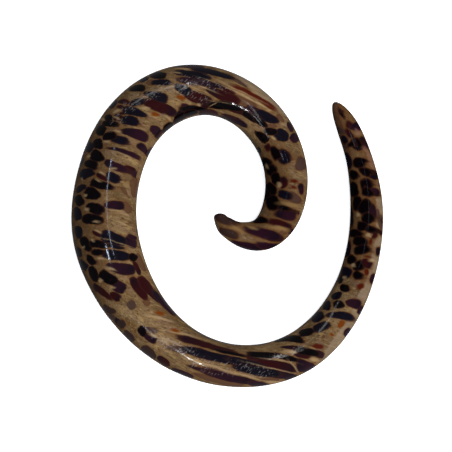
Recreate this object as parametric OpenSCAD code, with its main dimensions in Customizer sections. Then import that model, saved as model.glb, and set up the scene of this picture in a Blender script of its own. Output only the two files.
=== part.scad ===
// Spiral ear taper: one round bar of palm wood, carved as a flat spiral that swells and thins.
// It lies on its side. The spiral runs anticlockwise, seen from above, from the hook to the tail.

/* [Thickness] */
// Diameter at the thickest place, where the piece sits in the ear lobe
gauge = 10; // [9:0.1:10.5]

/* [Spiral] */
// Reach from the spiral's centre to the line of the bar at the inner tip, before the stray
inner_reach = 0.7; // [0.6:0.1:1]
// Reach half way round
middle_reach = 20; // [19.5:0.1:21]
// Reach at the tail's tip
outer_reach = 28.8; // [28:0.1:30]
// Direction of the inner tip from the spiral's centre, in degrees from +X
first_heading = -137; // [-180:1:180]

/* [Tips] */
// Turn over which the blunt inner tip rounds off, in degrees
inner_nose = 7; // [6:1:10]
// Turn over which the slender tail tip rounds off, in degrees
tail_nose = 13; // [8:1:14]

/* [Rest] */
// Lean of the spiral to the side of the tail, because its thickest stretch stands highest, in degrees
side_lean = 2.45; // [0:0.05:4]
// Lean of the spiral along its other side, in degrees
end_lean = 0.42; // [0:0.02:1]

/* [Fineness] */
// Sides of the bar's section
sides = 24; // [16:4:28]
// Rings along the bar, without those of the two tips
body_rings = 126; // [90:2:140]
// Rings that round each tip
nose_rings = 7; // [4:1:8]

/* [Hidden] */
wood_colour = [0.63, 0.46, 0.29];

// One row for each section of the bar, counted from the inner tip.
// Turn is in degrees. Share is the diameter there over the gauge. Stray is how far the line of the
// bar lies outside the even spiral, in mm, as the carver left it.
TURN = 0;
SHARE = 1;
STRAY = 2;
sections = [
    // turn, share, stray
    [0, 0.18, 1.55],
    [13, 0.21, 1.05],
    [31, 0.29, 0.15],
    [50, 0.33, -0.55],
    [70, 0.42, -0.7],
    [95, 0.55, -0.1],
    [125, 0.66, 0.0],
    [170, 0.71, 0.2],
    [215, 0.75, 0.1],
    [250, 0.88, -0.1],
    [295, 0.95, -0.2],
    [320, 1.00, 0.2],
    [340, 0.92, 0.0],
    [365, 0.77, -0.1],
    [395, 0.67, -0.1],
    [430, 0.66, 0.4],
    [465, 0.57, 0.2],
    [490, 0.53, 0.05],
    [505, 0.42, -0.1],
    [523.7, 0.35, -0.35],
];
last_row = len(sections) - 1;
total_turn = sections[last_row][TURN];

// Slope of one column at row i, from the rows on either side of it
function slope(column, i) =
    let (before = sections[max(i - 1, 0)], after = sections[min(i + 1, last_row)])
    (after[column] - before[column]) / (after[TURN] - before[TURN]);

// Value of one column at any turn, on a smooth curve through the rows
function column_at(column, turn) =
    let (
        i = max([for (k = [0 : last_row - 1]) if (sections[k][TURN] <= turn) k]),
        start = sections[i],
        end = sections[i + 1],
        step = end[TURN] - start[TURN],
        t = (turn - start[TURN]) / step,
        ease = t * t * (3 - 2 * t)
    )
    start[column] * (1 - ease) + end[column] * ease
        + step * t * (1 - t) * (slope(column, i) * (1 - t) - slope(column, i + 1) * t);

// Reach of the even spiral: one smooth law through the inner, middle and outer reaches
function even_reach(turn) =
    let (t = turn / total_turn)
    inner_reach * (1 - t) * (1 - 2 * t) + middle_reach * 4 * t * (1 - t) + outer_reach * t * (2 * t - 1);

// Centre of the bar at a turn, and the bar's direction there
function centre(turn) =
    let (reach = even_reach(turn) + column_at(STRAY, turn), heading = first_heading + turn)
    [reach * cos(heading), reach * sin(heading), 0];
function direction(turn) =
    let (span = centre(min(turn + 1, total_turn)) - centre(max(turn - 1, 0)))
    span / norm(span);

// Roundness of the two tips: 0 at the very tip, 1 where the bar has its full section
function nose(turn) =
    let (t = min(1, turn / inner_nose, (total_turn - turn) / tail_nose))
    sqrt(1 - (1 - t) * (1 - t));
function radius(turn) = gauge / 2 * column_at(SHARE, turn) * nose(turn);

// Turns at which the rings stand: close together round the tips, evenly spread between them
body_turn = total_turn - inner_nose - tail_nose;
spread = 0.8;
stations = concat(
    [for (i = [1 : nose_rings]) inner_nose * (1 - cos(90 * i / nose_rings))],
    [for (i = [1 : body_rings]) inner_nose + body_turn * pow(i / (body_rings + 1), spread)],
    [for (i = [0 : nose_rings - 1]) total_turn - tail_nose * (1 - sin(90 * i / nose_rings))]
);
ring_total = len(stations);

// The spiral leans as a whole, as it comes to rest on its side
function leaned(p) =
    let (y = p.y * cos(end_lean) - p.z * sin(end_lean), z = p.y * sin(end_lean) + p.z * cos(end_lean))
    [p.x * cos(side_lean) + z * sin(side_lean), y, z * cos(side_lean) - p.x * sin(side_lean)];

// A ring of points round the bar. Side 0 faces the spiral's centre.
function ring(turn) =
    let (middle = centre(turn), run = direction(turn), inward = [-run.y, run.x, 0], r = radius(turn))
    [for (k = [0 : sides - 1])
        let (angle = 360 * k / sides)
        leaned(middle + r * (cos(angle) * inward + [0, 0, sin(angle)]))];

bar_points = concat(
    [leaned(centre(0))],
    [for (turn = stations) each ring(turn)],
    [leaned(centre(total_turn))]
);
tail_point = len(bar_points) - 1;

// Point k of ring i, and the triangles between the rings and at the two tips
function at(i, k) = 1 + i * sides + k % sides;
bar_faces = concat(
    [for (k = [0 : sides - 1]) [0, at(0, k), at(0, k + 1)]],
    [for (i = [0 : ring_total - 2], k = [0 : sides - 1]) each [
        [at(i, k), at(i + 1, k), at(i + 1, k + 1)],
        [at(i, k), at(i + 1, k + 1), at(i, k + 1)]
    ]],
    [for (k = [0 : sides - 1]) [tail_point, at(ring_total - 1, k + 1), at(ring_total - 1, k)]]
);

// The origin is under the middle of the piece, on the surface that it lies on
low = [for (axis = [0 : 2]) min([for (p = bar_points) p[axis]])];
high = [for (axis = [0 : 2]) max([for (p = bar_points) p[axis]])];

module spiral_taper() {
    color(wood_colour)
    translate([-(low.x + high.x) / 2, -(low.y + high.y) / 2, -low.z])
    polyhedron(points = bar_points, faces = bar_faces);
}

spiral_taper();
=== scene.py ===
import math
import bpy
import numpy as np
from mathutils import Matrix, Quaternion, Vector


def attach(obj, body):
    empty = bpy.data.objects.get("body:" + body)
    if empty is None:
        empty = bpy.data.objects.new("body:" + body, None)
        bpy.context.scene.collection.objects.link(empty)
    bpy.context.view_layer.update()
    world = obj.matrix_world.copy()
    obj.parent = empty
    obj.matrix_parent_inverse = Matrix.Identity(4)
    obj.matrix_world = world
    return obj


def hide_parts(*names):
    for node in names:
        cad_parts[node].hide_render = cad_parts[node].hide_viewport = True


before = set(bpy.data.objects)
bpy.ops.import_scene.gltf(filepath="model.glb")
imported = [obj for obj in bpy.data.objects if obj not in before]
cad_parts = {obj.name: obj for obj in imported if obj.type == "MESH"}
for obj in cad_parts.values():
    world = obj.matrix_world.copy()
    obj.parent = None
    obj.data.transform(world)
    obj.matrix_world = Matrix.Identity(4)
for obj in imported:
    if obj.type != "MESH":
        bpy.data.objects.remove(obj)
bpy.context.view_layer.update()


# The view: the taper lies flat and is seen from above and from its thick side, as in the
# photograph, whose picture is 452 pixels square. The camera comes first because the marks
# in the wood are charted where they lie in that picture.

VIEW_FROM = Vector((-0.538, -0.006, 0.843)).normalized()
VIEW_TURN = 77.62
VIEW_DISTANCE = 0.312
VIEW_WIDTH = 0.07123
PICTURE = 452
PIXEL = VIEW_WIDTH / PICTURE
SENSOR = 36.0
AIM = Vector((-0.00203, -0.00016, 0.00402))
# The camera's middle lies beside the aim, in pixels to the right and up
AIM_OFF = (-1.5, 0.5)

VIEW_TILT = VIEW_FROM.to_track_quat("Z", "Y") @ Quaternion((0, 0, 1), math.radians(VIEW_TURN))
bpy.ops.object.select_all(action="DESELECT")
bpy.ops.object.camera_add()
camera = bpy.context.active_object
camera.rotation_euler = VIEW_TILT.to_euler()
view_middle = AIM + VIEW_TILT @ Vector((AIM_OFF[0] * PIXEL, AIM_OFF[1] * PIXEL, 0))
camera.location = view_middle + VIEW_FROM * VIEW_DISTANCE
camera.data.sensor_width = SENSOR
camera.data.lens = SENSOR * VIEW_DISTANCE / VIEW_WIDTH
camera.data.clip_start = 0.01
camera.data.clip_end = 10.0
bpy.context.scene.camera = camera


# The bar: one length of palm wood, sawn and rasped to a spiral that swells and tapers,
# then sanded smooth. It is a single carved piece, with nothing joined to it, and a
# carver's hand leaves it very slightly uneven.

BAR_NODE = "spiral_taper"
SAME_POINT = 0.000001
ROUNDINGS = 2
LOST_TO_SMOOTHING = 0.00003
HAND_UNEVENNESS = 0.00012
UNEVEN_PATCH = 0.009


def smooth_bar_from(node):
    bpy.ops.object.select_all(action="DESELECT")
    bar = node.copy()
    bar.data = node.data.copy()
    bar.parent = None
    bar.name = "carved_bar"
    bar.data.name = "carved_bar"
    bpy.context.collection.objects.link(bar)
    bar.select_set(True)
    bpy.context.view_layer.objects.active = bar
    bpy.ops.object.mode_set(mode="EDIT")
    bpy.ops.mesh.select_all(action="SELECT")
    bpy.ops.mesh.remove_doubles(threshold=SAME_POINT)
    bpy.ops.mesh.tris_convert_to_quads(face_threshold=1.0, shape_threshold=1.0)
    bpy.ops.transform.shrink_fatten(value=LOST_TO_SMOOTHING)
    bpy.ops.object.mode_set(mode="OBJECT")
    rounding = bar.modifiers.new("rounding", "SUBSURF")
    rounding.levels = ROUNDINGS
    rounding.render_levels = ROUNDINGS
    bpy.ops.object.modifier_apply(modifier=rounding.name)
    patches = bpy.data.textures.new("rasped_patches", "CLOUDS")
    patches.noise_scale = UNEVEN_PATCH
    patches.noise_depth = 1
    rasping = bar.modifiers.new("rasping", "DISPLACE")
    rasping.texture = patches
    rasping.texture_coords = "LOCAL"
    rasping.strength = HAND_UNEVENNESS
    rasping.mid_level = 0.5
    bpy.ops.object.modifier_apply(modifier=rasping.name)
    bpy.ops.object.shade_smooth()
    bpy.ops.object.select_all(action="DESELECT")
    return bar


bar = smooth_bar_from(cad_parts[BAR_NODE])


# The grain: dark bundles of fibre run through the block as straight rods, all one way.
# Cut across, a bundle shows as a round dot with a pale vessel at its edge, and cut along
# as a streak. Those that the photograph shows are charted, the rest scattered.

MM = 1000
GRAIN = Vector((0.881, -0.417, -0.221)).normalized()
ACROSS = Vector((0.428, 0.904, 0.0)).normalized()
RISE = GRAIN.cross(ACROSS)

STAINS = {
    "black": (4, 2, 3), "navy": (10, 8, 16), "plum": (30, 11, 20), "wine": (38, 8, 9),
    "rust": (66, 17, 4), "amber": (98, 46, 6), "brown": (80, 52, 34), "mauve": (50, 35, 35),
    "rose": (124, 88, 70), "pale": (162, 132, 94), "umber": (45, 30, 25), "tan": (116, 87, 52),
}
# The stains that let some of the ground through, those of two tones, and those without a rim
FAINT = {"brown": 0.9, "mauve": 0.8, "pale": 0.6, "rose": 0.5}
TWO_TONED = ("plum", "wine")
RIMLESS = ("pale", "tan", "amber", "rust", "rose")

# x, y, length, width in the picture's pixels, and slant in degrees, falling to the right
MARKS = {
    "brown": [
        (134.5, 188, 18, 7, 80), (127.5, 207.5, 12, 7, 55), (125, 191, 9, 3, 50), (141, 262, 20, 6, 62),
        (241, 99.5, 34, 6, 24), (97, 262, 4, 4, 0), (136, 181, 10, 4, 75), (336.5, 108, 12, 6, 75),
        (147, 302.5, 7, 6, 65), (219, 379.5, 50, 6, 13), (270, 379.5, 18, 4, 0), (151, 82, 9, 5, 0),
        (270, 125.5, 14, 4, 0), (323.7, 336.2, 2.5, 2.5, 0), (336.5, 117, 9, 5, 72),
        (281, 118, 9, 4, 50), (338.5, 124, 14, 6, 70), (343, 134, 16, 7, 66), (346, 150, 12, 7, 65),
        (283.5, 232.5, 9, 4, -35),
    ],
    "mauve": [
        (301.6, 163, 13, 9, 80), (381, 222, 14, 4, 85), (341, 130.5, 8, 4.5, 25),
        (98, 124.5, 8, 4, -55), (350.5, 318.5, 12, 6, 18), (113, 317, 10, 4, 35), (347, 144, 8, 5, 65),
        (132, 305, 9, 8, 60), (151, 329.6, 12.5, 5, 15), (179, 349, 21, 6, 12), (232, 78, 34, 3, 27),
        (213, 374, 24, 3, 15), (377.5, 213.5, 9, 5, 78), (295, 198, 14, 8, 30),
    ],
    "rust": [
        (184.5, 97.6, 4, 4, 20), (247, 92, 36, 6.4, 26), (264.5, 101.5, 34, 6, 33),
        (294.5, 181, 8, 3.5, 10), (293.5, 187, 7, 3, 12), (318, 346.3, 14, 6, 7), (361, 286, 8, 6, -20),
        (367, 272, 8, 4.5, 80), (368, 256.3, 7, 2.2, 5), (371.5, 241, 9, 3.6, -75),
        (134, 281, 12, 6, 60), (126.5, 126, 4, 1.5, 20),
    ],
    "amber": [
        (155.7, 113.7, 9, 5.5, 10), (181.3, 97.2, 10, 6, 18), (98, 176, 9, 3, 30),
        (160.6, 313, 10.5, 4.5, 12), (175.6, 329.7, 11, 4, 15), (341.5, 324, 10, 6.5, -50),
        (332, 334.3, 5.5, 4, 40),
    ],
    "wine": [
        (130, 170, 14, 7.5, 18), (102.5, 176.5, 14, 4.5, 25), (97.5, 234, 11, 4, 25),
        (137.5, 268, 14, 5, 65), (115.5, 296, 12, 6.5, 35), (102.5, 291.5, 23, 6, 38),
        (139.5, 288.5, 27, 9, 56), (150, 289.5, 34, 8, 51), (121, 118, 14, 6.5, 15),
        (124, 101.5, 12, 5, 0), (121.5, 107, 9, 3, 10), (123, 113, 7, 2.5, 5), (150, 151.5, 11, 4, -58),
        (161.5, 107.5, 35, 10.5, 23), (199.5, 98.4, 33, 12, 25), (223, 95, 36, 9.5, 22),
        (226.5, 89, 20, 4.5, 26), (160.5, 133, 12, 4.5, -45), (232, 117, 20, 3.2, 20),
        (268, 147, 7, 6, 60), (283, 182.5, 11, 8.5, 80), (281, 224, 23, 6, 17), (276, 238, 15, 5.5, 10),
        (209, 112.5, 20, 5, 0), (360.8, 167.5, 8, 4, 60), (163.9, 360.7, 15, 6.5, 35),
        (207, 344.6, 60, 5.8, 15), (273, 364, 52, 9.2, 13), (303, 355.2, 17, 3.8, 8),
        (367, 263, 11, 7.5, 30), (373.5, 232.5, 10, 6, 55), (341.5, 111.5, 7, 3.4, 60),
        (350.5, 125.5, 9.5, 6, 45), (349.5, 133, 9.5, 4, 52), (238, 109, 44, 9, 19),
    ],
    "plum": [
        (125.5, 152.5, 33, 4.8, 19), (115.5, 165.5, 25, 8, 24), (115, 205, 20, 9.5, 4),
        (131, 242, 14, 10, 28), (121.5, 268, 29, 11, 10), (119.5, 287, 14, 12, 30),
        (135.7, 134, 28, 9, 18), (143.5, 148.5, 13, 7, 50), (156, 130, 10, 9, 45),
        (187, 107, 10, 5, 20), (202, 82.7, 47, 7, 9), (229, 119.5, 22, 3.5, 20),
        (237, 121.5, 24, 5, 22), (255.5, 110.5, 18, 7, 26), (295, 137.5, 10, 7.5, 50),
        (290.7, 126.5, 11, 4.5, 58), (286.5, 214.5, 20, 10.5, 10), (264.5, 233.5, 36, 9, 17),
        (247.5, 245.5, 32, 9, 14), (268.5, 246, 22, 7, 8), (301.6, 189, 10, 5, 80),
        (291.5, 231.5, 6, 5.5, 0), (183, 372.8, 23, 5, 22), (233, 377.7, 62, 7.5, 14),
        (318.5, 354, 13, 7, 16), (306.5, 366, 21, 11.5, 14), (291, 347.3, 19, 3.8, 3),
        (354, 303.5, 15.5, 9, 10), (361, 309.5, 9, 5, -60), (373, 278.5, 9, 4, -75),
        (373, 210.5, 13, 7.5, 70), (375.5, 191.5, 10, 7.5, 30), (364, 143, 13, 6.5, 60),
        (356.8, 126.8, 9, 8, 60), (190, 66, 28, 4, 3), (133, 237, 10, 5, 20), (290, 377, 12.5, 5.5, 0),
        (258, 383.5, 20, 5, 5), (348, 331.7, 9, 6, -60), (280, 374.3, 38, 7.8, 10),
        (150.5, 337.3, 14, 8, 30), (164, 302.5, 34, 5, 47), (200, 368.8, 24, 2.6, 17),
    ],
    "navy": [
        (90, 147, 11, 7, -70), (81.5, 188, 11, 6.5, -35), (78, 213.5, 14, 8, 80),
        (113, 176.5, 16, 9, 35), (79, 232, 13, 7.5, 82), (79.5, 252, 10, 5, 80),
        (83.5, 264.5, 11, 7.5, 50), (114, 238, 27, 12, 18), (116, 246.3, 17, 4, 12),
        (118, 255, 30, 10, 8), (120, 323, 13, 5.5, 48), (119.5, 139.5, 20, 8, 10),
        (130, 120.5, 18, 9.5, 8), (134, 111.5, 22, 8.5, 14), (137.5, 102, 15, 7, -12),
        (113.5, 103.5, 10, 5, -45), (156.2, 95.8, 25, 8.5, 16), (183.4, 88.9, 18, 9, 22),
        (193.5, 74.5, 38, 7, 9), (213.5, 72.8, 44, 5.5, 13), (161.3, 82, 20, 6, 0),
        (282.5, 135, 14, 11.5, 25), (267, 116.5, 26, 9.5, 22), (284.3, 157, 15, 12.5, 50),
        (284.5, 194.5, 13, 8, 15), (215, 356.5, 72, 9, 14), (250, 364.5, 46, 9, 14),
        (258, 370.5, 50, 9.5, 10), (322, 326.6, 19, 8.4, -18), (318.4, 316.5, 14, 8, -40),
        (327.5, 305, 10, 7, -60), (341.5, 316, 28, 7.5, 8), (346, 273, 12, 9, -70),
        (337, 295.5, 10, 7, -20), (348.5, 249, 14, 4.5, -78), (349, 160.5, 15, 4.5, 76),
        (352, 217, 18, 3, 88), (373.5, 174.5, 11, 7.5, 35), (378.7, 251, 8, 3.5, -80),
        (345, 139.7, 8, 5, 60), (81.5, 162, 9, 4, -75), (145, 79, 9, 3.5, -27),
        (87, 173.5, 15, 10, -20),
    ],
    "black": [
        (97.5, 156, 14, 11, 30), (91, 164, 13, 8.5, 15), (98, 143.5, 10, 10, 0),
        (93, 193.5, 17, 12, 15), (79.5, 200, 11, 9, 60), (95, 208, 18, 11, 15),
        (92.5, 219, 21, 10.5, 3), (86.5, 244, 17, 9, 62), (91.5, 260, 12, 7, 45),
        (94, 274, 16, 8.5, 72), (98.5, 252, 14, 6, -3), (99, 244, 19, 8, 6), (133.5, 257, 9, 7.5, 40),
        (108, 277.5, 20, 11.5, 28), (109, 118.5, 9, 8, -60), (110, 123.3, 16, 6.5, 3),
        (101.5, 130, 11, 9, -50), (109.5, 136, 14, 8, -12), (101.5, 184.5, 24, 8, 14),
        (137.5, 88, 15, 6.5, -8), (158.5, 75, 16, 7, -3), (180, 117, 15, 8, -42),
        (194, 108.7, 29, 5.5, 0), (226, 106, 38, 8, 8), (250, 116.5, 18, 6, 35),
        (262, 136.5, 16, 7.8, 38), (271.5, 131.5, 13, 7, 8), (261, 121.5, 17, 6.4, 42),
        (276, 153, 14, 9, 62), (266.6, 162.5, 9.5, 8, 60), (271.6, 170, 10, 10, 70),
        (276, 178.5, 12, 8.5, 80), (271, 189, 13, 9, 75), (267, 195, 10, 8, 75),
        (273, 202.5, 15, 13, 60), (259, 150, 7, 4, 75), (261, 219.7, 12, 6.4, -3), (285, 208, 14, 5, 8),
        (142.5, 331, 10, 8, 60), (191, 113, 15, 6, -14), (168.5, 127, 15, 6.5, -40),
        (230, 352.3, 36, 3.5, 13), (266, 354.7, 38, 6.4, 3), (287, 357.7, 25, 5.8, 14),
        (293, 338.6, 20, 6.8, 3), (283, 339.7, 15, 3.5, -12), (306.5, 331.8, 15, 7.5, -12),
        (308, 351.6, 27, 7, 13), (351.5, 259.5, 9, 8, -50), (357.7, 275, 9, 9, -30),
        (358.5, 265.7, 11, 8.5, -20), (344.7, 287.8, 9, 8, 0), (338.5, 304, 10.5, 8.5, -5),
        (366.5, 185, 13, 10.5, 80), (354.5, 189, 15, 7.4, 83), (368, 192, 11, 8.5, 30),
        (357.5, 203, 14, 8.4, 95), (365.2, 206.2, 15.5, 11, -58), (368.7, 218.5, 12, 11.5, -20),
        (363.7, 226, 12, 8.6, 0), (355.7, 233.3, 12, 7.4, 5), (360.3, 240.8, 13.5, 8.6, 5),
        (361.7, 249.4, 15, 9, -14), (359.2, 162.7, 13, 10, 10), (341, 279, 9, 4.5, -65),
        (357, 144.5, 13, 9.5, 55), (343.2, 114.5, 7, 3.2, 60), (352, 144.3, 7, 5, -20),
        (371.5, 229, 10, 5.4, 10), (354, 174.5, 10, 7.4, 45), (366, 171.7, 12, 7.5, 20),
    ],
    "umber": [
        (129.4, 335.6, 14, 7, 50), (122, 323.5, 8, 7, 55), (149.4, 352, 17, 7, 32),
        (109.5, 309.5, 13, 6, 24), (223.5, 218.6, 17, 7.5, 27), (229, 233, 19, 7, 22),
    ],
    "pale": [
        (88.8, 156, 4, 2.5, -30), (86.2, 195, 4, 3.5, 0), (87.2, 209.5, 5, 3.5, 0),
        (96.5, 221.5, 8, 2.5, 2), (82.5, 178.5, 4, 2.5, 60), (113.5, 168, 7, 2.4, 5),
        (102, 172.3, 7, 3, 20), (98.5, 180.2, 7, 2.4, 22), (117, 210.5, 15, 1.8, 9),
        (126.5, 214.5, 9, 1.8, 22), (98, 231, 8, 2.6, 18), (93.5, 239.5, 5, 2.6, 30),
        (101, 258, 10, 3, 8), (111.5, 268.8, 13, 3.6, 18), (83.3, 247, 4, 2.6, 0),
        (101.5, 280.5, 5, 4.4, 30), (113, 287, 5, 2.6, 10), (103, 119, 4.5, 3.5, 0),
        (107.5, 141.3, 7, 2.6, 0), (117.5, 117.8, 8, 2.6, 22), (118, 130.7, 9, 2.6, 10),
        (117, 111, 9, 3, -30), (147, 107.5, 8, 2.6, 5), (169, 117.5, 10, 2.6, 38),
        (125, 154.8, 30, 1.5, 20), (118, 242.5, 40, 1.2, 17), (240, 90.5, 56, 1.8, 26),
        (252, 99.6, 48, 2.4, 27), (218, 101.3, 20, 1, 10), (214, 104, 10, 1.2, -30),
        (199, 104.5, 5, 3, 10), (274, 137.5, 6, 3, 20), (279.3, 184.5, 4.5, 4.5, 0),
        (267, 166, 5, 2.2, 65), (154, 335, 11, 3, 20), (131, 315.5, 6, 2.6, 40),
        (151, 315.5, 13, 1.8, 8), (163, 318.5, 26, 3, 15), (182, 333.7, 36, 2, 12),
        (205, 363, 40, 3, 16), (250, 376.5, 56, 2, 16), (353.5, 265, 4, 3, 0),
        (344.5, 277.5, 3.5, 2.5, 0), (358.5, 214.5, 4, 4, 0), (369, 234.5, 4, 3, 0),
        (315, 359.6, 10, 4, 18), (182, 68.7, 18, 1.5, 4), (176, 72.2, 9, 1.8, 5),
        (205, 87.5, 26, 1.4, 20), (122, 222.5, 11, 1.5, 20), (294.7, 366.7, 15, 1.9, 50),
        (274, 368.2, 52, 1.8, 13), (278, 360, 34, 1.4, 8), (372, 260, 5, 2.6, 0),
        (224, 86, 40, 1.2, 22), (291, 351.2, 12, 3, 5), (275, 381.5, 20, 2.6, 0), (345, 106, 9, 4, 50),
    ],
    "tan": [
        (290, 204, 17, 3, 8), (252, 227, 10, 2.6, 15), (279.3, 228, 19, 3.4, 14), (238, 229, 12, 3, 25),
    ],
    "rose": [
        (367, 150.5, 10, 3, 50), (370.5, 157, 9, 4, 62), (358, 131.5, 7, 4, 50), (373.5, 165, 7, 4, 70),
    ],
}

# The charted places lie this many pixels beside the picture's own, to the right and up
CHART_SHIFT = (0.5, 0.35)
# A mark's ends lie on the bar where it still faces much the same way, near the mark's middle
SAME_WAY = 0.3
SAME_STRETCH = 0.006
# Past this share of the grain's direction, a surface is cut across the grain
CUT_ACROSS = 0.5


def pigment(red, green, blue):
    parts = []
    for level in (red, green, blue):
        share = level / 255
        parts.append(share / 12.92 if share < 0.04045 else ((share + 0.055) / 1.055) ** 2.4)
    return tuple(parts)


def sight(x, y):
    aside = x - PICTURE / 2 - CHART_SHIFT[0]
    up = PICTURE / 2 - y - CHART_SHIFT[1]
    return (VIEW_TILT @ Vector((aside * PIXEL, up * PIXEL, -VIEW_DISTANCE))).normalized()


def seen_spot(bar, x, y, near, facing):
    ray = sight(x, y)
    hit, spot, normal, _ = bar.ray_cast(camera.location, ray)
    if hit and normal.dot(facing) > SAME_WAY and (spot - near).length < SAME_STRETCH:
        return spot
    reach = (near - camera.location).dot(facing) / ray.dot(facing)
    return camera.location + ray * reach


def charted_marks(bar):
    marks = []
    for stain, rows in MARKS.items():
        for x, y, length, width, slant in rows:
            hit, spot, facing, _ = bar.ray_cast(camera.location, sight(x, y))
            if not hit:
                continue
            lean = math.radians(slant)
            run = (math.cos(lean) * length / 2, math.sin(lean) * length / 2)
            side = (-math.sin(lean) * width / 2, math.cos(lean) * width / 2)
            ends = [
                seen_spot(bar, x + way * step_x, y + way * step_y, spot, facing)
                for step_x, step_y in (run, side) for way in (1, -1)
            ]
            middle = (ends[0] + ends[1] + ends[2] + ends[3]) / 4
            arms = [(ends[0] - ends[1]) / 2, (ends[2] - ends[3]) / 2]
            endwise = abs(facing.dot(GRAIN)) > CUT_ACROSS
            through = GRAIN if endwise else facing
            shape = Matrix((arms[0], arms[1], through)).transposed().inverted()
            marks.append({
                "stain": stain,
                "spot": np.array(middle),
                "facing": np.array(facing),
                "endwise": endwise,
                "run": np.array(shape[0]),
                "side": np.array(shape[1]),
                "long": max(arm.length for arm in arms),
                "narrow": min(arm.length for arm in arms),
            })
    return marks


# The scattered rods, for the sides that the photograph doesn't show: their places across the
# grain, gaps and widths in mm, height over width, and lean in radians
ROD_SEED = 7
ROD_TRIES = 9000
ROD_ACROSS = (-32, 32)
ROD_RISE = (-10, 15)
ROD_GAP = (1.55, 1.9)
ROD_WIDTH = (1.25, 1.75)
ROD_STRETCH = (0.95, 1.3)
ROD_LEAN = (-0.5, 0.5)
ROD_STAINS = ["black"] * 6 + ["navy"] * 3 + ["plum"] * 3 + ["wine"] * 2 + ["rust", "mauve"]


def scattered_rods():
    rng = np.random.default_rng(ROD_SEED)
    rods = []
    for _ in range(ROD_TRIES):
        across = rng.uniform(*ROD_ACROSS) / MM
        rise = rng.uniform(*ROD_RISE) / MM
        gap = rng.uniform(*ROD_GAP) / MM
        if any(math.hypot(across - rod["across"], rise - rod["rise"]) < gap for rod in rods):
            continue
        width = rng.uniform(*ROD_WIDTH) / MM
        height = width * rng.uniform(*ROD_STRETCH)
        lean = rng.uniform(*ROD_LEAN)
        run = (np.array(ACROSS) * math.cos(lean) + np.array(RISE) * math.sin(lean)) * 2 / width
        side = (np.array(RISE) * math.cos(lean) - np.array(ACROSS) * math.sin(lean)) * 2 / height
        rods.append({
            "across": across,
            "rise": rise,
            "spot": np.array(ACROSS) * across + np.array(RISE) * rise,
            "run": run,
            "side": side,
            "stain": ROD_STAINS[int(rng.integers(len(ROD_STAINS)))],
        })
    return rods


# Patches of the surface, charted the same way: scuffed ones, with fine scratches across the
# lacquer whose pale strokes are partly a painted glint, worn ones, where it is dull, greyed ones,
# a painted reflection that pales the ground on outer flanks, and darkened ones: painted shade
# along the outer rim of the thickest stretch, and darker ground elsewhere.
PATCHES = {
    # Real scratches, whose pale strokes in the colour are partly a painted glint
    "scuffed": [
        (152, 94, 18, 9, -20), (168, 86.5, 22, 8, -10), (183.5, 89, 20, 11, 22), (202, 83, 50, 10, 9),
        (201, 98, 16, 8, 25), (136, 101, 24, 12, -35), (120, 118, 26, 10, -55), (211, 366, 44, 13, 16),
        (247, 369, 44, 12, 14), (277.5, 355.3, 10, 3, 5), (297, 349.5, 15, 5.5, -25),
        (176, 347, 40, 12, 22),
    ],
    "worn": [
        (284, 190, 80, 56, 84), (262, 232, 110, 50, 5), (366, 195, 230, 70, 85), (344, 120, 60, 40, 60),
        (211, 368.7, 32, 5, 13),
    ],
    # Painted reflection: the pale sheen of the surroundings on outer flanks
    "flank_sheen": [
        (262, 92.5, 84, 7, 37), (380, 222, 110, 6, 90), (375, 262, 60, 8, -78), (364, 294, 40, 8, -62),
        (343, 334, 56, 8, -50),
    ],
    # The first is painted shade along the outer rim of the thickest stretch; the rest darken the ground
    "dark_ground_and_shade": [
        (88, 215, 190, 30, 88), (104, 130, 60, 28, -55), (360, 190, 180, 26, 84),
        (275, 180, 90, 24, 88), (345, 122, 64, 34, 62),
    ],
}
# How far each kind of patch fades out past its edge, as a share of its size
PATCH_FADE = {"scuffed": 0.4, "worn": 0.3, "flank_sheen": 0.5, "dark_ground_and_shade": 0.5}
# A patch or mark ends where the bar turns from its own way by this cosine, and a patch fades
# out over this one as the bar turns from the view
TURNED_AWAY = 0.2
OUT_OF_VIEW = 0.4


def chart_patches(bar, middles, facing, name):
    fade = PATCH_FADE[name]
    amount = np.zeros(len(middles))
    for x, y, length, width, slant in PATCHES[name]:
        _, spot, normal, _ = bar.ray_cast(camera.location, sight(x, y))
        lean = math.radians(slant)
        run = VIEW_TILT @ Vector((math.cos(lean), -math.sin(lean), 0))
        side = VIEW_TILT @ Vector((math.sin(lean), math.cos(lean), 0))
        off = middles - np.array(spot)
        away_run = off @ np.array(run) / (length * PIXEL / 2)
        away_side = off @ np.array(side) / (width * PIXEL / 2)
        away = np.hypot(away_run, away_side)
        patch = np.clip((1.0 + fade - away) / fade, 0, 1)
        patch *= facing @ np.array(normal) > TURNED_AWAY
        patch *= np.clip((facing @ np.array(VIEW_FROM) + OUT_OF_VIEW) / OUT_OF_VIEW, 0, 1)
        amount = np.maximum(amount, patch)
    layer = bar.data.attributes.new(name, "FLOAT", "FACE")
    layer.data.foreach_set("value", amount.astype(np.float32))


# Each facet of the bar shows its nearest few bundles
RANKS = 4
# A charted mark shrinks to nothing at its depth in the wood, and where the bar turns away
ENDWISE_DEPTH = 0.005
LENGTHWISE_DEPTH = 0.0035
MARK_STRETCH = 1.3
MARK_MARGIN = 0.0015
# A scattered rod shrinks on the seen side, and near a charted mark that it would double
SEEN_MARGIN = 0.05
DOUBLE_APART = 0.0009
DOUBLE_CLEAR = 0.0034
# Both shrink over this length or turn, and aren't shown below the least share of their size
SHRINK_LENGTH = 0.0012
SHRINK_TURN = 0.3
LEAST_SHOWN = 0.15
LEAST_SIZE = 0.05
# Reach is 1 at a bundle's rim. These stand for a bundle that isn't near the facet.
NOWHERE = 99.0
FARTHEST = 50.0
# How much a bundle may taper along its length
MOST_TAPER = 0.3
TRAIT_SEED = 3


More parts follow.
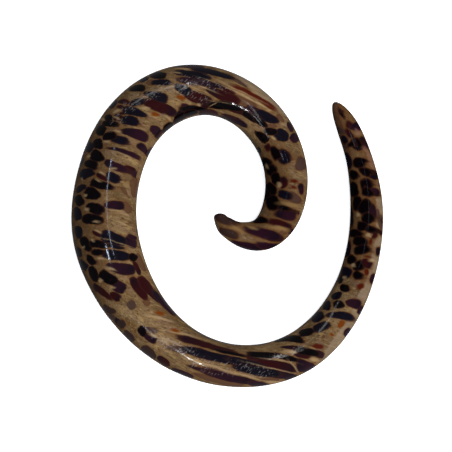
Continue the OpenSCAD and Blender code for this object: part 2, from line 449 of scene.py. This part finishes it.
def place_marks(marks, middles, facing, reach, grow):
    for column, mark in enumerate(marks):
        off = middles - mark["spot"]
        away = np.hypot(off @ mark["run"], off @ mark["side"])
        if mark["endwise"]:
            depth = ENDWISE_DEPTH - np.abs(off @ np.array(GRAIN))
            turned = np.ones(len(middles))
        else:
            depth = LENGTHWISE_DEPTH - np.abs(off @ mark["facing"])
            turned = (facing @ mark["facing"] - TURNED_AWAY) / SHRINK_TURN
        size = np.sqrt(np.clip(depth / SHRINK_LENGTH, 0, 1) * np.clip(turned, 0, 1))
        near = np.linalg.norm(off, axis=1) < mark["long"] * MARK_STRETCH + MARK_MARGIN
        shown = (size > LEAST_SHOWN) & near
        grow[:, column] = size
        reach[shown, column] = (away / np.maximum(size, LEAST_SIZE))[shown]


def place_rods(rods, marks, middles, facing, reach, grow):
    grain = np.array(GRAIN)
    seen = facing @ np.array(VIEW_FROM)
    hidden = 1.0 - np.clip((seen + SEEN_MARGIN) / SHRINK_TURN, 0, 1)
    for column, rod in enumerate(rods, start=len(marks)):
        off = middles - rod["spot"]
        away = np.hypot(off @ rod["run"], off @ rod["side"])
        size = np.sqrt(hidden)
        for mark in marks:
            apart = mark["spot"] - rod["spot"]
            beside = np.linalg.norm(apart - grain * (apart @ grain))
            if beside < mark["narrow"] + DOUBLE_APART and mark["stain"] != "pale":
                clear = np.linalg.norm(middles - mark["spot"], axis=1) - DOUBLE_CLEAR
                size *= np.sqrt(np.clip(clear / SHRINK_LENGTH, 0, 1))
        shown = size > LEAST_SHOWN
        grow[:, column] = size
        reach[shown, column] = (away / np.maximum(size, LEAST_SIZE))[shown]


def bundle_traits(bundles):
    rng = np.random.default_rng(TRAIT_SEED)
    traits = []
    for bundle in bundles:
        toned = rng.choice((-1, 1)) if bundle["stain"] in TWO_TONED else 0
        taper = rng.uniform(-MOST_TAPER, MOST_TAPER)
        traits.append((taper, bundle["stain"] not in RIMLESS, toned))
    return np.array(traits)


def chart_bundles(bar):
    mesh = bar.data
    count = len(mesh.polygons)
    middles = np.zeros(count * 3)
    facing = np.zeros(count * 3)
    mesh.polygons.foreach_get("center", middles)
    mesh.polygons.foreach_get("normal", facing)
    middles = middles.reshape(-1, 3)
    facing = facing.reshape(-1, 3)
    for name in PATCHES:
        chart_patches(bar, middles, facing, name)
    marks = charted_marks(bar)
    rods = scattered_rods()
    bundles = marks + rods
    reach = np.full((count, len(bundles)), NOWHERE, dtype=np.float32)
    grow = np.ones((count, len(bundles)), dtype=np.float32)
    place_marks(marks, middles, facing, reach, grow)
    place_rods(rods, marks, middles, facing, reach, grow)
    nearest = np.sort(np.argsort(reach, axis=1)[:, :RANKS], axis=1)
    rows = np.arange(count)
    run = np.array([bundle["run"] for bundle in bundles])
    side = np.array([bundle["side"] for bundle in bundles])
    spot = np.array([bundle["spot"] for bundle in bundles])
    stain = np.array([pigment(*STAINS[bundle["stain"]]) for bundle in bundles])
    strength = np.array([FAINT.get(bundle["stain"], 1.0) for bundle in bundles])
    trait = bundle_traits(bundles)
    # Run and side, each times a place and with its start added, say where that place lies in
    # the bundle: 0 at its middle and 1 at its rim. The third start is the stain's strength.
    for rank in range(RANKS):
        pick = nearest[:, rank]
        size = np.maximum(grow[rows, pick], LEAST_SIZE)[:, None]
        run_here = run[pick] / size
        side_here = side[pick] / size
        start = np.stack([
            -(run_here * spot[pick]).sum(axis=1),
            -(side_here * spot[pick]).sum(axis=1),
            np.where(reach[rows, pick] < FARTHEST, strength[pick], 0.0),
        ], axis=1)
        layers = {
            "run": run_here,
            "side": side_here,
            "start": start,
            "stain": stain[pick],
            "trait": trait[pick],
        }
        for name, values in layers.items():
            layer = mesh.attributes.new(f"{name}_{rank}", "FLOAT_VECTOR", "FACE")
            layer.data.foreach_set("vector", values.astype(np.float32).ravel())


chart_bundles(bar)


# The finish: oiled tan ground tissue between the bundles, fine dark specks in it, and a
# clear satin lacquer over all, rubbed down by hand so that highlights break up. Wear has
# dulled the lacquer in places and left fine scuffs in others, whose pale strokes are partly
# painted glint. Painted shade and a painted reflection are mixed into the colour as well.

# Some tones below carry painted light: shade on the underside and along one rim, a reflection on outer
# flanks, and glints in the scuffs
TONES = {
    "ground": (88, 67, 42), "light_ground": (111, 87, 58), "umber_mottle": (92, 61, 29),
    "straw_mottle": (143, 115, 73), "rosy_mottle": (112, 86, 74), "speck": (54, 34, 18),
    "pale_thread": (151, 124, 85), "dark_thread": (66, 44, 26), "worn": (60, 42, 34),
    "dark_ground_and_shade": (80, 52, 28), "flank_sheen": (146, 128, 106), "bundle_thread": (52, 26, 26),
    "bundle_dark": (12, 8, 15), "bundle_edge": (52, 26, 18), "halo": (88, 56, 28),
    "scuff_and_glint": (172, 162, 154), "underside_shade": (20, 14, 12),
}
# Textures are drawn out along the grain: 1 mm along it counts as this much of 1 mm across it
DRAWN_OUT = {"fibre": 0.07, "patchy": 0.22, "speck": 0.3, "blotch": 0.35}
# The measure of a bundle's soft edge, and how far its outline is dragged and frayed
EDGE = 0.00007
DRAG = 0.00045
FRAY = 0.0003
# The scuffs' direction in the picture, and how many of them lie in a metre, along and across
SCUFF_RUN = VIEW_TILT @ Vector((0.73, 0.68, 0.0))
SCUFF_SIDE = VIEW_TILT @ Vector((0.68, -0.73, 0.0))
SCUFFS_ALONG = 1500
SCUFFS_ACROSS = 5200
RELIEF_DEPTH = 0.00006


class Strand:
    """One socket of the wood's nodes; sums on it add Math nodes."""

    def __init__(self, tree, socket=None):
        self.tree = tree
        self.socket = socket

    def feed(self, made, sockets):
        for name, value in sockets.items():
            if isinstance(value, Strand):
                self.tree.links.new(value.socket, made.inputs[name])
            else:
                made.inputs[name].default_value = value

    def node(self, kind, settings, sockets, out=0):
        made = self.tree.nodes.new("ShaderNode" + kind)
        for name, value in settings.items():
            setattr(made, name, value)
        self.feed(made, sockets)
        return Strand(self.tree, made.outputs[out])

    def sum(self, operation, first, second=0.0):
        return self.node("Math", {"operation": operation}, {0: first, 1: second})

    def __add__(self, other):
        return self.sum("ADD", self, other)

    def __radd__(self, other):
        return self.sum("ADD", other, self)

    def __sub__(self, other):
        return self.sum("SUBTRACT", self, other)

    def __rsub__(self, other):
        return self.sum("SUBTRACT", other, self)

    def __mul__(self, other):
        return self.sum("MULTIPLY", self, other)

    def __truediv__(self, other):
        return self.sum("DIVIDE", self, other)

    def step(self, start, end):
        settings = {"interpolation_type": "SMOOTHSTEP"}
        return self.node("MapRange", settings, {"Value": self, "From Min": start, "From Max": end})

    def noise(self, place, scale, detail=2.0, roughness=0.5, out="Fac"):
        sockets = {"Vector": place, "Scale": scale, "Detail": detail, "Roughness": roughness}
        return self.node("TexNoise", {}, sockets, out)

    def mix(self, share, under, over):
        return self.node("Mix", {"data_type": "RGBA"}, {0: share, 6: under, 7: over}, 2)

    def charted(self, name, out="Vector"):
        return self.node("Attribute", {"attribute_name": name}, {}, out)

    def vector_sum(self, operation, sockets, out=0):
        return self.node("VectorMath", {"operation": operation}, sockets, out)

    def along(self, place, way):
        return self.vector_sum("DOT_PRODUCT", {0: place, 1: way}, "Value")

    def length(self, vector):
        return self.vector_sum("LENGTH", {0: vector}, "Value")

    def round_box(self, x, y):
        corner = 2.5
        over = self.sum("POWER", self.sum("ABSOLUTE", x), corner)
        up = self.sum("POWER", self.sum("ABSOLUTE", y), corner)
        return self.sum("POWER", over + up, 1 / corner)

    def part(self, vector, axis):
        return self.node("SeparateXYZ", {}, {0: vector}, axis)

    def vector(self, x, y, z):
        return self.node("CombineXYZ", {}, {0: x, 1: y, 2: z})


def tone(name):
    return (*pigment(*TONES[name]), 1.0)


def lacquered_palm_wood():
    material = bpy.data.materials.new("lacquered_palm_wood")
    material.use_nodes = True
    tree = material.node_tree
    shader = tree.nodes["Principled BSDF"]
    wood = Strand(tree)
    spot = wood.node("TexCoord", {}, {}, "Object")
    across = wood.along(spot, tuple(ACROSS * MM))
    rise = wood.along(spot, tuple(RISE * MM))
    along = wood.along(spot, tuple(GRAIN * MM))
    fibre = wood.vector(across, rise, along * DRAWN_OUT["fibre"])
    patchy = wood.vector(across, rise, along * DRAWN_OUT["patchy"])
    speck = wood.vector(across, rise, along * DRAWN_OUT["speck"])
    blotch = wood.vector(across, rise, along * DRAWN_OUT["blotch"])
    drift = wood.vector(across * 0.25, rise * 0.25, along * 0.12)

    # The ground: clouds of two tans, mottled, with dark specks and threads along the grain
    speckle = wood.noise(speck, 3.4, 3.0, 0.7)
    cloud = wood.noise(drift, 1.4, 2.0)
    threads = wood.noise(fibre, 4.0, 3.0, 0.65)
    mottle = wood.noise(patchy, 0.9, 3.0, 0.6, "Color")
    paint = wood.mix(cloud.step(0.35, 0.65), tone("ground"), tone("light_ground"))
    # The noise, where it starts to show and where it shows in full, its share, and its tone
    layers = [
        (wood.part(mottle, 0), 0.5, 0.66, 0.6, "umber_mottle"),
        (wood.part(mottle, 1), 0.52, 0.66, 0.55, "straw_mottle"),
        (wood.part(mottle, 2), 0.54, 0.68, 0.4, "rosy_mottle"),
        (speckle, 0.5, 0.7, 0.8, "speck"),
        (threads, 0.53, 0.7, 0.5, "pale_thread"),
    ]
    for noise, start, full, share, name in layers:
        paint = wood.mix(noise.step(start, full) * share, paint, tone(name))
    paint = wood.mix((1.0 - threads.step(0.34, 0.46)) * 0.3, paint, tone("dark_thread"))

    # The charted patches, which tint the ground, painted shade and a painted reflection among them
    worn = wood.charted("worn", "Fac")
    scuffed = wood.charted("scuffed", "Fac")
    paint = wood.mix(worn * 0.2, paint, tone("worn"))
    # Darker ground, which along the outer rim of the thickest stretch is painted shade
    paint = wood.mix(wood.charted("dark_ground_and_shade", "Fac") * 0.55, paint, tone("dark_ground_and_shade"))
    # Painted reflection: the outer flanks are paled and greyed in the colour
    paint = wood.mix(wood.charted("flank_sheen", "Fac") * 0.35, paint, tone("flank_sheen"))

    # The bundles: rounded blots with a brownish halo, softer where the lacquer is worn. Inside
    # counts the soft edge's measure inwards from the rim, and is below 0 outside the bundle.
    ragged = wood.noise(blotch, 0.9, 1.0, out="Color")
    drag = wood.vector_sum("SUBTRACT", {0: ragged, 1: (0.5, 0.5, 0.5)})
    drag = wood.vector_sum("SCALE", {0: drag, "Scale": DRAG})
    pulled = wood.vector_sum("ADD", {0: spot, 1: drag})
    fine_edge = wood.noise(speck, 4.0, 1.0) - 0.5
    frayed = (wood.noise(fibre, 2.6, 2.0, 0.6) - 0.5) * FRAY
    cover = None
    for rank in range(RANKS):
        run = wood.charted(f"run_{rank}")
        side = wood.charted(f"side_{rank}")
        start = wood.charted(f"start_{rank}")
        stain = wood.charted(f"stain_{rank}")
        trait = wood.charted(f"trait_{rank}")
        taper = wood.part(trait, 0)
        rimmed = wood.part(trait, 1)
        toned = wood.part(trait, 2)
        strength = wood.part(start, 2)
        steep = wood.length(run)
        soft = wood.sum("MAXIMUM", steep, wood.length(side)) * EDGE
        x = wood.along(pulled, run) + wood.part(start, 0) + frayed * steep
        y = (wood.along(pulled, side) + wood.part(start, 1)) * (1.0 + taper * x)
        reach = wood.round_box(x, y) + fine_edge * soft * 1.2
        inside = (1.0 - reach) / soft
        mask = inside.step(worn * -2.0 - 1.3, 3.0 - rimmed * 2.5) * strength
        halo = inside.step(worn * -3.0 - 4.5, -0.5) * strength
        core = inside.step(0.0, 2.2)
        inner = wood.mix(threads.step(0.5, 0.8) * 0.3, stain, tone("bundle_thread"))
        inner = wood.mix((x * toned).step(-0.2, 0.9) * 0.7, inner, tone("bundle_dark"))
        inner = wood.mix((1.0 - core) * rimmed * 0.4, inner, tone("bundle_edge"))
        bare = 1.0 if cover is None else 1.0 - cover
        paint = wood.mix(halo * rimmed * (worn * 0.4 + 0.35) * bare, paint, tone("halo"))
        paint = wood.mix(mask, paint, inner)
        cover = mask if cover is None else wood.sum("MAXIMUM", cover, mask)

    # The scuffs, whose pale strokes are partly painted glint, and painted shade on the underside
    stroke = wood.vector(
        wood.along(spot, tuple(SCUFF_RUN * SCUFFS_ALONG)),
        wood.along(spot, tuple(SCUFF_SIDE * SCUFFS_ACROSS)),
        wood.along(spot, tuple(VIEW_FROM * SCUFFS_ALONG)))
    scuffs_and_glints = wood.noise(stroke, 1.0, 2.0, 0.6).step(0.56, 0.68) * scuffed
    # Pale scuff strokes in the colour, partly real scuffing and partly a painted glint
    paint = wood.mix(scuffs_and_glints * 0.22, paint, tone("scuff_and_glint"))
    # Painted shade: the colour darkens on facets that face downward
    upward = wood.part(wood.node("NewGeometry", {}, {}, "Normal"), 2)
    paint = wood.mix((1.0 - upward.step(-0.5, 0.3)) * 0.25, paint, tone("underside_shade"))

    # The lacquer: fullest over the bundles, thinner over the ground, nearly gone where worn
    rub = wood.noise(spot, 900.0, 4.0, 0.7)
    roughness = 0.08 + rub.step(0.4, 0.75) * 0.08
    gloss = wood.sum("MAXIMUM", cover * 0.65 + 0.35, scuffed) * (1.0 - worn * 0.9)
    ripple = wood.noise(spot, 2300.0, 1.0)
    relief = threads * 0.3 + rub * 0.3 + ripple * 0.8 - cover * 0.25 + scuffs_and_glints * 2.2
    bumps = {"Strength": 0.16, "Distance": RELIEF_DEPTH, "Height": relief}
    bump = wood.node("Bump", {}, bumps, "Normal")
    shared = {"Base Color": paint, "Normal": bump}
    wood.feed(shader, {**shared, "Roughness": roughness, "Specular IOR Level": 0.1})
    lacquer = Strand(tree, shader.outputs["BSDF"])
    bare_wood = {**shared, "Roughness": 0.6, "Specular IOR Level": 0.0}
    dull = wood.node("BsdfPrincipled", {}, bare_wood, "BSDF")
    both = wood.node("MixShader", {}, {0: gloss, 1: dull, 2: lacquer}, "Shader")
    wood.feed(tree.nodes["Material Output"], {"Surface": both})
    return material


bar.data.materials.clear()
bar.data.materials.append(lacquered_palm_wood())
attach(bar, "root")
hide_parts(BAR_NODE)


# The table: a plain pale sheet, far wider than the taper that lies on it, lit from
# beneath as well so that shadows stay faint. It is shielded from the taper, whose
# underside and flanks would look chalky with its glare on them.

FLOOR_SIZE = 2.4
PAPER = {
    "Base Color": (0.95, 0.95, 0.95, 1.0),
    "Emission Color": (1.0, 1.0, 1.0, 1.0),
    "Emission Strength": 0.7,
    "Roughness": 0.9,
}

bpy.ops.object.select_all(action="DESELECT")
bpy.ops.mesh.primitive_plane_add(size=FLOOR_SIZE, location=(0, 0, 0))
floor = bpy.context.active_object
floor.name = "pale_sheet"
paper = bpy.data.materials.new("pale_paper")
paper.use_nodes = True
for name, value in PAPER.items():
    paper.node_tree.nodes["Principled BSDF"].inputs[name].default_value = value
floor.data.materials.append(paper)
floor.visible_diffuse = False
floor.visible_glossy = False


# The light: a small bluish window behind the camera, a long tube overhead and a short one
# beyond the taper, three narrow strips that draw the bright lines along its arcs, and a window
# of three panes to one side. Each is a metre off, where the photograph's highlights ask for it.

COOL = (0.72, 0.84, 1.0)
TUBE = (0.72, 0.82, 1.0)
DAYLIGHT = (0.9, 0.95, 1.0)
WARM = (1.0, 0.98, 0.95)
WHITE = (1.0, 1.0, 1.0)
ROOM = {"Color": (0.97, 0.98, 1.0, 1.0), "Strength": 0.2}

# name, direction from the taper, direction of the long side, length, width, power, tint
LAMPS = [
    ("camera_window", (-0.58, -0.165, 0.8), (0, 1, 0), 0.14, 0.07, 3.2, COOL),
    ("overhead_tube", (-0.27, 0.25, 0.93), (0, 1, 0), 0.9, 0.022, 4.6, TUBE),
    ("upper_strip", (0.25, 0.76, 0.51), (0.62, -0.5, 0.36), 1.05, 0.02, 2.3, WARM),
    ("lower_strip", (0.12, -0.57, 0.8), (0.6, 0.3, 0.14), 0.7, 0.025, 1.4, WARM),
    ("side_strip", (-0.34, -0.74, 0.56), (1, -0.19, 0.36), 0.66, 0.02, 1.9, DAYLIGHT),
    ("window_pane_0", (0.287, -0.798, 0.53), (0.3, 0.57, 0.78), 0.05, 0.02, 2.0, WHITE),
    ("window_pane_1", (0.175, -0.799, 0.576), (0.3, 0.57, 0.78), 0.05, 0.02, 2.0, WHITE),
    ("window_pane_2", (0.089, -0.782, 0.617), (0.3, 0.57, 0.78), 0.05, 0.02, 2.0, WHITE),
    ("far_tube", (0.62, 0.37, 0.69), (0, 1, -0.4), 0.3, 0.012, 1.4, WARM),
]


def soft_lamp(name, towards, lie, length, width, power, tint):
    way = Vector(towards).normalized()
    long_axis = (Vector(lie) - way * way.dot(Vector(lie))).normalized()
    bpy.ops.object.light_add(type="AREA", location=way)
    lamp = bpy.context.active_object
    lamp.name = name
    lamp.rotation_euler = Matrix((long_axis, way.cross(long_axis), way)).transposed().to_euler()
    lamp.data.shape = "RECTANGLE"
    lamp.data.size = length
    lamp.data.size_y = width
    lamp.data.energy = power
    lamp.data.color = tint


for lamp in LAMPS:
    soft_lamp(*lamp)

room = bpy.data.worlds.new("room")
room.use_nodes = True
for name, value in ROOM.items():
    room.node_tree.nodes["Background"].inputs[name].default_value = value
bpy.context.scene.world = room
bpy.context.scene.view_settings.view_transform = "Standard"
